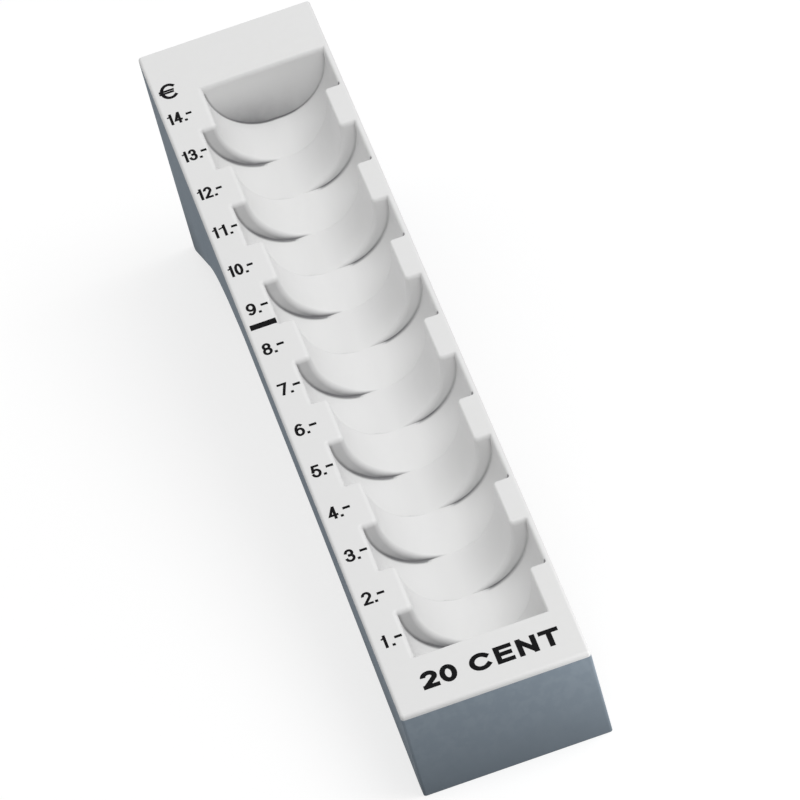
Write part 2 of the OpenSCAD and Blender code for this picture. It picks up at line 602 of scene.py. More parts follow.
    def rows(self) -> dict[str, list[Row]]:
        """Rows of the whole cross-section by the name of their stretch, going once round it."""
        under_cheek = [
            self.plain_row(self.half_w, self.cheek_depth, -1),
            self.plain_row(self.cheek_x, self.cheek_depth, -1),
            self.plain_row(self.cheek_x, self.plate_t, -1, right_d=self.slot_depth),
        ]
        return {
            "left_under": [self.plain_row(-self.half_w, self.plate_t, 1)],
            "left_edge": self.edge_rows(1),
            "left_lip": self.lip_rows(1),
            "hollow": self.hollow_rows(),
            "right_lip": self.lip_rows(-1)[::-1],
            "right_edge": self.edge_rows(-1)[::-1],
            "cheek": under_cheek,
            "shell": self.shell_rows(),
        }

    def step_profile(self, height: float, convex: float, concave: float) -> list[StepPoint]:
        """Outline of a step, from its inner corner over its rounded edge.

        Args:
            height: Height of the step, square to the wall.
            convex: Radius on the outer edge, which a low step cuts down.
            concave: Radius in the inner corner.

        Returns:
            The outline's points.
        """
        convex = min(convex, max(self.seam, self.round_share * height))
        rise = min(concave, max(0.0, height - convex))
        run = max(rise, self.seam)
        start = math.asin(max(0.0, 1 - height / convex))
        level = height < LEVEL
        shown = min(1.0, height / self.rub_least) ** self.rub_fade
        edge = convex * (1 - math.cos(start))
        corner = edge - self.seam
        # The painted shade starts on the wall before the step, and is darkest in the inner corner.
        profile = [StepPoint(0.0, corner - run - self.rub_floor, 0.0, 0.0)]
        for part, turn in zip(steps_of(self.arc_steps), quarter_turns(self.arc_steps)):
            climbed = 0.0 if level else rise * (1 - math.cos(turn)) / height
            foot = shown * mix(self.rub_corner, 1.0, part)
            profile.append(StepPoint(climbed, corner - run * (1 - math.sin(turn)), foot, 0.0))
        # It fades out low on the face, at most half-way up.
        upright = max(0.0, height - convex) - rise
        above = self.rub_band / max(upright, 2 * self.rub_band)
        climbed = 0.0 if level else (rise + above * upright) / height
        profile.append(StepPoint(climbed, mix(corner, edge, above), 0.0, shown))
        # The rounded edge follows, cut off below where the step is low.
        for part in steps_of(self.arc_steps):
            turn = mix(start, math.pi / 2, part)
            climbed = part if level else 1 - convex * (1 - math.sin(turn)) / height
            profile.append(StepPoint(climbed, convex * (1 - math.cos(turn)), 0.0, shown * (1 - part)))
        return profile

    def step_places(self, row: Row, step: Step) -> list[Point]:
        """Places of a row round one step of the channel.

        Args:
            row: The row that is carried round the step.
            step: The step.

        Returns:
            Each place as the share of the shift that is done, 0 left and 1 right, the place along the slope
            and how strong the painted shade is there.
        """
        way = step.turn.value * row.side
        line = step.s + way * row.out
        forward = 1 if way > 0 else -1
        profile = self.step_profile(self.section_shift * abs(row.side), row.convex, row.concave)
        # Painted shade at the foot, with more in a corner that faces up the slope.
        foot = row.rub[0] + (row.soil if way < 0 else 0.0)
        places = []
        for point in profile[::forward]:
            left_first = way > 0 if step.turn is Turn.TO_RIGHT else way < 0
            done = point.climbed if left_first else 1 - point.climbed
            s = line + forward * point.along + row.spread * way * point.climbed
            places.append((done, s, foot * point.foot + row.rub[1] * point.face))
        return places

    def sweep(self, row: Row, stretch: Stretch) -> list[tuple[Point, float]]:
        """Carries one row along a stretch of the channel.

        Args:
            row: The row.
            stretch: The stretch, which starts in a section that is set to the left, unless it has no steps.

        Returns:
            The row's points as (x, s, d), each with how strong the painted shade is there.
        """
        # Painted shade along the foot of the end walls.
        foot = row.rub[0] * self.wall_foot
        places = [(0.0, stretch.start, 0.0)]
        if stretch.wall is End.NEAR:
            places = [(0.0, stretch.start, foot), (0.0, stretch.start + self.rub_band, 0.0)]
        for step in stretch.steps:
            places += self.step_places(row, step)
        done = places[-1][0]
        if stretch.wall is End.FAR:
            places += [(done, stretch.end - self.rub_band, 0.0), (done, stretch.end, foot)]
        else:
            places.append((done, stretch.end, 0.0))
        return [
            ((mix(row.left[0], row.right[0], done), s, mix(row.left[1], row.right[1], done)), rub)
            for done, s, rub in places
        ]

    def add_stretch(self, bm: bmesh.types.BMesh, stretch: Stretch) -> dict[str, list[Verts]]:
        """Adds the closed skin of one stretch, open at its two ends.

        Args:
            bm: The mesh to add to.
            stretch: The stretch of the channel.

        Returns:
            The vertices of each row along the stretch, by the name of the rows' stretch of the cross-section.
        """
        layer = bm.verts.layers.float.get(SHADE_ATTRIBUTE) or bm.verts.layers.float.new(SHADE_ATTRIBUTE)

        def new(point: Point, rub: float) -> Vert:
            """New vertex of the skin."""
            vert = bm.verts.new(self.slope.place(*point))
            vert[layer] = rub
            return vert

        lines = {
            name: [[new(*placed) for placed in self.sweep(row, stretch)] for row in rows]
            for name, rows in self.rows().items()
        }
        ring = [line for part in lines.values() for line in part]
        for line, following in zip(ring, ring[1:] + ring[:1]):
            skin(bm, line, following)
        return lines

    def build(self, material: bpy.types.Material) -> bpy.types.Object:
        """Builds the tray as one closed mesh.

        Args:
            material: The finish of the tray.

        Returns:
            The tray's object.
        """
        first, last = self.middle(1), self.middle(self.sections - 1)
        cell = bmesh.new()
        pair = Stretch(first, self.middle(3), (Step(self.boundary(1), Turn.TO_RIGHT),
                                               Step(self.boundary(2), Turn.TO_LEFT)))
        self.add_stretch(cell, pair)
        pairs = (self.sections - 2) // 2
        pitch = self.slope.run * (2 * self.section_l * MM)
        channel = repeat_along(object_from(cell, "section_pair"), pairs, pitch, material)

        bm = bmesh.new()
        bm.from_mesh(channel)
        bpy.data.meshes.remove(channel)
        near = self.add_stretch(bm, Stretch(self.boundary(0), first, wall=End.NEAR))
        ring = {name: [line[0] for line in lines] for name, lines in near.items()}
        TrayEnd(self, bm, ring, End.NEAR).close()
        step = Step(self.boundary(self.sections - 1), Turn.TO_RIGHT)
        far = self.add_stretch(bm, Stretch(last, self.boundary(self.sections), (step,), End.FAR))
        ring = {name: [line[-1] for line in lines] for name, lines in far.items()}
        TrayEnd(self, bm, ring, End.FAR).close()
        bmesh.ops.remove_doubles(bm, verts=bm.verts, dist=WELD)
        bmesh.ops.recalc_face_normals(bm, faces=bm.faces)
        tray = object_from(bm, "channel_tray_moulding")
        return finish_piece(tray, material)


@dataclass
class TrayEnd:
    """One end of the tray: the channel's end wall, the margin beyond it and what hangs under the margin.

    Attributes:
        tray: The tray.
        bm: The mesh to add to.
        ring: The vertices of the channel's last cross-section, by the name of their stretch of it.
        end: The end to close.
    """

    tray: ChannelTray
    bm: bmesh.types.BMesh
    ring: Ring
    end: End

    @property
    def near(self) -> bool:
        """Whether this is the near end."""
        return self.end is End.NEAR

    @property
    def lips(self) -> tuple[Verts, Verts]:
        """The left and the right lip, each from the top face down to the wall."""
        return self.ring["left_lip"], self.ring["right_lip"][::-1]

    @property
    def edges(self) -> tuple[Verts, Verts]:
        """The left and the right outer edge, each from the top face down to the side."""
        return self.ring["left_edge"][::-1], self.ring["right_edge"]

    def new(self, x: float, s: float, d: float) -> Vert:
        """New vertex of this end, where the near end is upright and the far end square to the top."""
        return self.bm.verts.new(self.tray.slope.place(x, s, d, upright=self.near))

    def beside_wall(self, x: float, beyond: float, d: float) -> Vert:
        """New vertex beside the channel's upright end wall."""
        wall_s = self.tray.boundary(0 if self.near else self.tray.sections)
        return self.bm.verts.new(self.tray.slope.place(x, wall_s + self.end.value * beyond, d))

    def moved_out(self, vert: Vert, distance: float) -> Vert:
        """New vertex that lies some way along the slope from another, away from the channel."""
        return self.bm.verts.new(vert.co + self.tray.slope.run * (self.end.value * distance * MM))

    def inside(self, distance: float) -> float:
        """Place along the slope that lies some way inside this end, measured square to its face."""
        return distance / self.tray.slope.run.y if self.near else self.tray.top_l - distance

    def corner(self, side: int, inset: float) -> list[Flat]:
        """Plan points of one rounded outer corner, from the long side round to the end.

        Args:
            side: 1 for the left corner, -1 for the right one.
            inset: How far the points lie inside the outline.

        Returns:
            Points as (x, s).
        """
        tray, way = self.tray, self.end.value
        edge_s = 0.0 if self.near else tray.top_l
        radius = tray.corner_r - inset
        centre_x = -side * (tray.half_w - tray.corner_r)
        centre_s = edge_s - way * tray.corner_r
        return [(centre_x - side * radius * math.cos(t), centre_s + way * radius * math.sin(t))
                for t in quarter_turns(tray.arc_steps)]

    def round_end(self, inset: float, depth: float) -> Verts:
        """New vertices from the left side round this end to the right side."""
        return [self.new(x, s, depth) for x, s in self.corner(1, inset) + self.corner(-1, inset)[::-1]]

    def add_lip(self) -> tuple[Vert, Vert]:
        """Adds the rounded lip over the end wall.

        Returns:
            The lip's left and right corner on the top face.
        """
        tray, lips = self.tray, self.lips
        middle = tray.left_x if self.near else tray.right_x
        reach = tray.wall_half(tray.lip_depth)
        corners = []
        for part in steps_of(tray.lip_steps)[:-1]:
            left_out, depth = tray.lip_place(part, tray.lip_left)
            right_out, _ = tray.lip_place(part, tray.lip_right)
            beyond, _ = tray.lip_place(part, tray.lip_end)
            corners.append((self.beside_wall(middle - reach - left_out, beyond, depth),
                            self.beside_wall(middle + reach + right_out, beyond, depth)))
        corners.append((lips[0][-1], lips[1][-1]))
        for k, (upper, lower) in enumerate(zip(corners, corners[1:])):
            self.bm.faces.new((*upper, *lower[::-1]))
            for lip, high, low in zip(lips, upper, lower):
                beside = lip[k:k + 1] if low is lip[k + 1] else lip[k:k + 2][::-1]
                self.bm.faces.new((*beside, high, low))
        return corners[0]

    def fill_wall(self) -> None:
        """Fills the channel's end wall with rings of faces, with painted shade that darkens it towards its
        foot and more on its left.
        """
        tray, (left_lip, right_lip) = self.tray, self.lips
        outline = [left_lip[-1], *self.ring["hollow"], right_lip[-1]]
        layer = self.bm.verts.layers.float[SHADE_ATTRIBUTE]
        left, right = outline[0].co, outline[-1].co
        top = (left + right) / 2
        foot = min(outline, key=lambda vert: vert.co.z).co
        middle = top.lerp(foot, tray.wall_middle)
        for corner in (outline[0], outline[-1]):
            corner[layer] = 0.0

        def rub_at(place: Vector) -> float:
            """How strong the painted shade on the wall is at a place."""
            low = (top.z - place.z) / (top.z - foot.z)
            across = (place.x - left.x) / (right.x - left.x)
            return max(0.0, low - tray.wall_clean) / (1 - tray.wall_clean) * mix(*tray.wall_rub, across)

        rings = [outline]
        for share in tray.wall_rings:
            rings.append([self.bm.verts.new(middle.lerp(vert.co, share)) for vert in outline])
        for outer, inner in zip(rings, rings[1:]):
            skin(self.bm, outer, inner, closed=True)
            for vert, corner in zip(inner, outline):
                line = corner[layer] if outer is outline else 0.0
                vert[layer] = max(line, rub_at(vert.co))
        self.bm.faces.new(rings[-1])

    def add_edge(self) -> tuple[list[Verts], Verts]:
        """Adds the rounded outer edge of the margin and the plate's face below it.

        Returns:
            The edge's lines from the top face down, and the line round the plate's underside.
        """
        tray = self.tray
        loops = []
        for turn, left, right in zip(quarter_turns(tray.arc_steps), *self.edges):
            inset = tray.edge_r * (1 - math.sin(turn))
            depth = tray.edge_r * (1 - math.cos(turn))
            loops.append([left, *self.round_end(inset, depth), right])
        for upper, lower in zip(loops, loops[1:]):
            skin(self.bm, upper, lower)
        under = [self.ring["left_under"][0], *self.round_end(0.0, tray.plate_t)]
        skin(self.bm, loops[-1][:-1], under)
        return loops, under

    def add_cheek(self, lowest: Verts, under: Verts) -> Verts:
        """Ends the right cheek short of the stand's wall.

        Args:
            lowest: The lowest line of the margin's rounded edge.
            under: The line round the plate's underside.

        Returns:
            The corners of the cheek's end, from its upper outer one round to its upper inner one.
        """
        tray = self.tray
        outer_low, inner_low, _ = self.ring["cheek"]
        s = self.inside(tray.stand_wall + tray.fit_gap)
        plan = ((tray.half_w, tray.plate_t), (tray.half_w, tray.cheek_depth),
                (tray.cheek_x, tray.cheek_depth), (tray.cheek_x, tray.plate_t))
        cheek = [self.new(x, s, d) for x, d in plan]
        self.bm.faces.new(cheek)
        self.bm.faces.new((*lowest[-2:], outer_low, cheek[1], cheek[0], under[-1]))
        self.bm.faces.new((outer_low, inner_low, cheek[2], cheek[1]))
        return cheek

    def add_shell(self, cheek: Verts) -> Verts:
        """Closes the wall round the channel behind the end wall.

        Args:
            cheek: The corners of the right cheek's end.

        Returns:
            The line where the plate's underside meets the cheek and the wall, from the right to the left.
        """
        tray, shell, faces = self.tray, self.ring["shell"], self.bm.faces
        _, inner_low, roof = self.ring["cheek"]
        shell_end = [self.moved_out(vert, tray.channel_wall) for vert in shell]
        skin(self.bm, shell, shell_end)
        if self.near:
            faces.new(shell_end)
            faces.new((inner_low, roof, cheek[3], cheek[2]))
            return [cheek[3], roof, shell[0], shell_end[0], shell_end[-1], shell[-1]]
        slot = self.moved_out(roof, tray.channel_wall)
        plate = self.beside_wall(tray.cheek_x, tray.channel_wall, tray.plate_t)
        faces.new([*shell_end, plate, slot])
        faces.new((shell[0], roof, slot, shell_end[0]))
        faces.new((inner_low, roof, slot, plate, cheek[3], cheek[2]))
        return [cheek[3], plate, shell_end[-1], shell[-1]]

    def add_rib(self) -> Verts:
        """Adds the locating rib and returns the corners of its foot on the plate's underside."""
        tray = self.tray
        gap = tray.stand_wall + tray.fit_gap
        reach = tray.half_w - gap
        outer, inner = self.inside(gap), self.inside(gap + tray.rib_t)
        plan = ((-reach, outer), (reach, outer), (reach, inner), (-reach, inner))
        foot, tip = ([self.new(x, s, d) for x, s in plan] for d in (tray.plate_t, tray.plate_t + tray.rib_h))
        self.bm.faces.new(tip)
        skin(self.bm, foot, tip, closed=True)
        return foot

    def close(self) -> None:
        """Closes this end of the channel and adds the margin beyond it."""
        left_lip, right_lip = self.lips
        left_top, right_top = self.add_lip()
        self.fill_wall()
        loops, under = self.add_edge()
        self.bm.faces.new([left_lip[0], *loops[0], right_lip[0], right_top, left_top])
        cheek = self.add_cheek(loops[-1], under)
        outline = [*under, cheek[0], *self.add_shell(cheek)]
        edges = []
        for loop in (outline, self.add_rib()):
            for pair in zip(loop, loop[1:] + loop[:1]):
                edges.append(self.bm.edges.get(pair) or self.bm.edges.new(pair))
        bmesh.ops.triangle_fill(self.bm, use_beauty=True, edges=edges, normal=-self.tray.slope.normal)


@dataclass
class Stand:
    """The moulding under the tray, dressed from its solid with softened edges. Its blue-grey is partly its
    own colour and partly painted shade of its sides.

    The front edge of its far leg is cut back to a steeper line from a shorter foot, under a wider arch.
    """

    slope: Slope
    half_w: float
    node: str = "stand"
    far_foot: float = 2.0
    leg_angle: float = 26.8
    arch_r: float = 70.0
    arch_end: float = 0.8
    arch_steps: int = 24
    skirt_depth: float = 12.0
    cut_room: float = 2.0
    weld: float = 0.02
    edge_r: float = 0.15
    edge_segments: int = 3
    flat_angle: float = 1.0
    sharp_angle: float = 40.0

    def arch(self) -> list[Flat]:
        """Points (y, z) of the arch, from the foot of the far leg up to the level underside."""
        leg, level = math.radians(self.leg_angle), math.radians(self.slope.incline)
        toe = -self.slope.near_y - self.far_foot
        under = self.slope.place(0.0, 0.0, self.skirt_depth, upright=False) / MM
        rise = math.tan(leg) * toe + math.tan(level) * under.y - under.z
        meet_y = rise / (math.tan(leg) + math.tan(level))
        start_y = meet_y + self.arch_r * math.tan((leg + level) / 2) * math.cos(leg)
        centre_y = start_y - self.arch_r * math.sin(leg)
        centre_z = math.tan(leg) * (toe - start_y) - self.arch_r * math.cos(leg)
        turns = [mix(-leg, self.arch_end * level, part) for part in steps_of(self.arch_steps)]
        points = [(toe, 0.0)]
        for turn in turns:
            points.append((centre_y - self.arch_r * math.sin(turn), centre_z + self.arch_r * math.cos(turn)))
        return points

    def leg_cut(self) -> bpy.types.Object:
        """Block below the arch, which is cut from the stand."""
        arch = self.arch()
        outline = [*arch, (arch[-1][0], -self.cut_room), (arch[0][0], -self.cut_room)]
        reach = self.half_w + self.cut_room
        bm = bmesh.new()
        sides = [[bm.verts.new(Vector((x, y, z)) * MM) for y, z in outline] for x in (-reach, reach)]
        for side in sides:
            bm.faces.new(side)
        skin(bm, *sides, closed=True)
        bmesh.ops.recalc_face_normals(bm, faces=bm.faces)
        return object_from(bm, "leg_cut")

    def build(self, material: bpy.types.Material) -> bpy.types.Object:
        """Builds the stand with small radii on its edges.

        Args:
            material: The finish of the stand.

        Returns:
            The stand's object.
        """
        bm = bmesh.new()
        bm.from_mesh(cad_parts[self.node].data)
        bmesh.ops.remove_doubles(bm, verts=bm.verts, dist=self.weld * MM)
        flat = math.radians(self.flat_angle)
        bmesh.ops.dissolve_limit(bm, angle_limit=flat, verts=bm.verts, edges=bm.edges)
        stand = object_from(bm, "stand_moulding")
        block = self.leg_cut()
        merge(stand, block, Merge.CUT)
        bevel = stand.modifiers.new("edges", "BEVEL")
        bevel.width = self.edge_r * MM
        bevel.segments = self.edge_segments
        bevel.limit_method = "ANGLE"
        bevel.angle_limit = math.radians(self.sharp_angle)
        finish_piece(stand, material)
        bpy.data.objects.remove(block)
        return stand


@dataclass(frozen=True)
class Stroke:
    """One stroke of the pen.

    Attributes:
        points: Its points in a box of 1 by 1, from the lower left.
        closed: Whether it runs back into itself.
        cap: How far it runs on past its ends, in widths of the pen.
        weight: Its width, as a share of the pen's width.
    """

    points: tuple[Flat, ...]
    closed: bool = False
    cap: float = 0.5
    weight: float = 1.0


BOW_STEPS = 20
MITRE_LIMIT = 0.55


def bow(middle: Flat, radii: Flat, start: float, end: float) -> tuple[Flat, ...]:
    """Points of an arc from one angle to another, in degrees."""
    angles = [math.radians(mix(start, end, part)) for part in steps_of(BOW_STEPS)]
    return tuple((middle[0] + radii[0] * math.cos(a), middle[1] + radii[1] * math.sin(a)) for a in angles)


def round_stroke(middle: Flat, radii: Flat) -> Stroke:
    """A closed round stroke."""
    return Stroke(bow(middle, radii, 0, 360)[:-1], closed=True)


def turned(stroke: Stroke) -> Stroke:
    """A stroke turned by half a turn in its box."""
    return Stroke(tuple((1 - x, 1 - y) for x, y in stroke.points), stroke.closed, stroke.cap, stroke.weight)


SIX = (round_stroke((0.5, 0.31), (0.5, 0.31)), Stroke(bow((0.58, 0.4), (0.58, 0.6), 180, 62)))
GLYPHS: dict[str, tuple[Stroke, ...]] = {
    "0": (round_stroke((0.5, 0.5), (0.5, 0.5)),),
    "1": (Stroke(((0.8, 0.0), (0.8, 1.0))),
          Stroke(((0.8, 0.96), (0.5, 0.82), (-0.05, 0.77)), cap=0.3, weight=0.68)),
    "2": (Stroke((*bow((0.5, 0.72), (0.5, 0.28), 180, -30), (0.05, 0.03)), cap=0.0),
          Stroke(((0.0, 0.0), (1.0, 0.0)))),
    "3": (Stroke(bow((0.48, 0.75), (0.45, 0.25), 165, -90)),
          Stroke(bow((0.48, 0.27), (0.52, 0.27), 90, -165))),
    "4": (Stroke(((1.0, 0.27), (0.0, 0.27), (0.66, 1.0))), Stroke(((0.72, 0.0), (0.72, 1.0)))),
    "5": (Stroke(((0.9, 1.0), (0.18, 1.0), (0.06, 0.48))),
          Stroke(bow((0.48, 0.32), (0.52, 0.32), 145, -160))),
    "6": SIX,
    "7": (Stroke(((0.0, 1.0), (1.0, 1.0), (0.35, 0.0))),),
    "8": (round_stroke((0.5, 0.76), (0.43, 0.24)), round_stroke((0.5, 0.27), (0.5, 0.27))),
    "9": tuple(turned(stroke) for stroke in SIX),
    "C": (Stroke(bow((0.52, 0.5), (0.52, 0.5), 42, 318)),),
    "E": (Stroke(((0.0, 0.0), (0.0, 1.0))), Stroke(((0.0, 0.0), (1.0, 0.0))),
          Stroke(((0.0, 0.52), (0.92, 0.52))), Stroke(((0.0, 1.0), (1.0, 1.0)))),
    "N": (Stroke(((0.0, 0.0), (0.0, 1.0))), Stroke(((1.0, 0.0), (1.0, 1.0))),
          Stroke(((0.0, 1.0), (1.0, 0.0)), cap=0.0)),
    "T": (Stroke(((0.0, 1.0), (1.0, 1.0))), Stroke(((0.5, 0.0), (0.5, 1.0)))),
    "\u20ac": (Stroke(bow((0.54, 0.5), (0.5, 0.5), 48, 312)),
               Stroke(((-0.04, 0.58), (0.76, 0.58)), weight=0.75),
               Stroke(((-0.04, 0.42), (0.72, 0.42)), weight=0.75)),
}


@dataclass(frozen=True)
class Letter:
    """One printed sign, with its box on the top face.

    Attributes:
        sign: The sign.
        x: Left edge.
        s: Lower edge, up the slope.
        width: Width of the sign.
        height: Height of the sign.
        pen: Width of its strokes.
    """

    sign: str
    x: float
    s: float
    width: float
    height: float
    pen: float

    def centre_line(self, stroke: Stroke) -> list[Vector]:
        """Points of a stroke at the sign's size, run on past its open ends."""
        across, up = self.width - self.pen, self.height - self.pen
        points = [Vector((self.pen / 2 + x * across, self.pen / 2 + y * up)) for x, y in stroke.points]
        if not stroke.closed:
            run_on = stroke.cap * self.pen
            first = points[0] + (points[0] - points[1]).normalized() * run_on
            last = points[-1] + (points[-1] - points[-2]).normalized() * run_on
            points[0], points[-1] = first, last
        return points


@dataclass(frozen=True)
class NumberStyle:
    """Layout of the scale's numbers of one length, by their left edges and widths."""

    first: int
    last: int
    digits: tuple[Flat, ...]
    dot_x: float
    dash: Flat


@dataclass
class Legend:
    """The black print on the top face: the scale, its currency sign, the bar and the value."""

    tray: ChannelTray
    proud: float = 0.02
    sunk: float = 0.025
    number_h: float = 3.0
    number_pen: float = 0.5
    number_low: float = 1.7
    thin_one: float = 0.62
    dot: Flat = (0.52, 0.55)
    dash_t: float = 0.56
    dash_up: float = 0.1
    bar: tuple[Flat, Flat] = ((-15.6, 97.65), (4.75, 1.35))
    currency: Letter = Letter("\u20ac", -15.1, 161.75, 3.4, 4.2, 0.64)
    value_s: float = 4.02
    value_h: float = 3.95
    value_pen: float = 0.92
    value: tuple[tuple[str, float, float], ...] = (
        ("2", -11.05, 2.85), ("0", -7.83, 2.88), ("C", -2.75, 3.8),
        ("E", 1.7, 3.1), ("N", 5.53, 3.4), ("T", 9.47, 3.4))
    styles: tuple[NumberStyle, ...] = (
        NumberStyle(1, 9, ((-15.05, 1.7),), -13.1, (-12.4, 1.3)),
        NumberStyle(10, 14, ((-15.55, 1.05), (-14.35, 1.5)), -12.58, (-12.06, 1.08)))

    def ribbon(self, points: Sequence[Vector], closed: bool, half: float) -> list[tuple[Vector, Vector]]:
        """Edge points of a line of an even width, with mitred corners.

        Args:
            points: The middle of the line.
            closed: Whether the line runs back into itself.
            half: Half its width.

        Returns:
            The left and the right edge's point beside each point.
        """
        edges = []
        for i, point in enumerate(points):
            ahead = points[(i + 1) % len(points)] - point
            behind = point - points[i - 1]
            if not closed and i == 0:
                behind = ahead
            if not closed and i == len(points) - 1:
                ahead = behind
            squares = [Vector((-way.y, way.x)).normalized() for way in (behind, ahead)]
            square = (squares[0] + squares[1]).normalized()
            reach = half / max(square.dot(squares[0]), MITRE_LIMIT)
            edges.append((point + square * reach, point - square * reach))
        return edges

    def prism(self, edges: Sequence[tuple[Vector, Vector]], closed: bool) -> bpy.types.Object:
        """Thin closed prism of a ribbon, in millimetres.

        Args:
            edges: Left and right points of the ribbon.
            closed: Whether it runs back into itself.

        Returns:
            The prism's object.
        """
        bm = bmesh.new()
        rings = []
        for left, right in edges:
            corners = ((left, self.proud), (right, self.proud), (right, -self.sunk), (left, -self.sunk))
            rings.append([bm.verts.new((flat.x, flat.y, z)) for flat, z in corners])
        for ring, following in zip(rings, rings[1:] + rings[:1] if closed else rings[1:]):
            skin(bm, ring, following, closed=True)
        if not closed:
            bm.faces.new(rings[0])
            bm.faces.new(rings[-1])
        bmesh.ops.recalc_face_normals(bm, faces=bm.faces)
        return object_from(bm, "stroke")

    def letter_mesh(self, letter: Letter) -> bpy.types.Mesh:
        """Closed mesh of one sign, with its strokes united, in millimetres from its lower left."""
        prisms = []
        for stroke in GLYPHS[letter.sign]:
            half = letter.pen * stroke.weight / 2
            edges = self.ribbon(letter.centre_line(stroke), stroke.closed, half)
            prisms.append(self.prism(edges, stroke.closed))
        for other in prisms[1:]:
            merge(prisms[0], other, Merge.JOIN)
        mesh = flatten(prisms[0])
        for piece in prisms:
            bpy.data.objects.remove(piece)
        return mesh

    def add_letter(self, bm: bmesh.types.BMesh, letter: Letter) -> None:
        """Adds a sign at its place on the top face."""
        mesh = self.letter_mesh(letter)
        for vert in mesh.vertices:
            x, up, out = vert.co
            vert.co = self.tray.slope.place(letter.x + x, letter.s + up, -out, upright=False)
        bm.from_mesh(mesh)
        bpy.data.meshes.remove(mesh)

    def add_block(self, bm: bmesh.types.BMesh, low: Flat, size: Flat) -> None:
        """Adds a printed rectangle, given by its lower left corner and its size."""
        corners = [(low[0] + size[0] * i, low[1] + size[1] * j) for i, j in ((0, 0), (1, 0), (1, 1), (0, 1))]
        under, over = (
            [bm.verts.new(self.tray.slope.place(x, s, d, upright=False)) for x, s in corners]
            for d in (self.sunk, -self.proud))
        bm.faces.new(over)
        bm.faces.new(under[::-1])
        skin(bm, under, over, closed=True)

    def add_marks(self, bm: bmesh.types.BMesh, style: NumberStyle, material: bpy.types.Material) -> None:
        """Adds the dot and the dash behind each number of one length, as a row of even steps.

        Args:
            bm: The mesh to add to.
            style: The layout of these numbers.
            material: The ink.
        """
        middle = self.tray.middle(style.first)
        mark = bmesh.new()
        self.add_block(mark, (style.dot_x, middle - self.number_low), self.dot)
        dash_low = middle + self.dash_up - self.dash_t / 2
        self.add_block(mark, (style.dash[0], dash_low), (style.dash[1], self.dash_t))
        pitch = self.tray.slope.run * (self.tray.section_l * MM)
        count = style.last - style.first + 1
        row = repeat_along(object_from(mark, f"marks_{style.first}"), count, pitch, material)
        bm.from_mesh(row)
        bpy.data.meshes.remove(row)

    def number(self, value: int, style: NumberStyle) -> list[Letter]:
        """Signs of one number of the scale."""
        low = self.tray.middle(value) - self.number_low
        letters = []
        for sign, (x, width) in zip(str(value), style.digits):
            if sign == "1" and len(style.digits) == 1:
                x, width = x + width * (1 - self.thin_one) / 2, width * self.thin_one
            letters.append(Letter(sign, x, low, width, self.number_h, self.number_pen))
        return letters

    def build_scale(self, material: bpy.types.Material) -> bpy.types.Object:
        """Builds the scale's numbers and marks, the sign above them and the bar."""
        bm = bmesh.new()
        for style in self.styles:
            for value in range(style.first, style.last + 1):
                for letter in self.number(value, style):
                    self.add_letter(bm, letter)
            self.add_marks(bm, style, material)
        self.add_letter(bm, self.currency)
        self.add_block(bm, *self.bar)
        return finish_piece(object_from(bm, "scale_print"), material)

    def build_value(self, material: bpy.types.Material) -> bpy.types.Object:
        """Builds the value at the near end."""
        bm = bmesh.new()
        for sign, x, width in self.value:
            self.add_letter(bm, Letter(sign, x, self.value_s, width, self.value_h, self.value_pen))
        return finish_piece(object_from(bm, "value_print"), material)


Socket = bpy.types.NodeSocket
Feed = float | tuple[float, ...] | bpy.types.NodeSocket


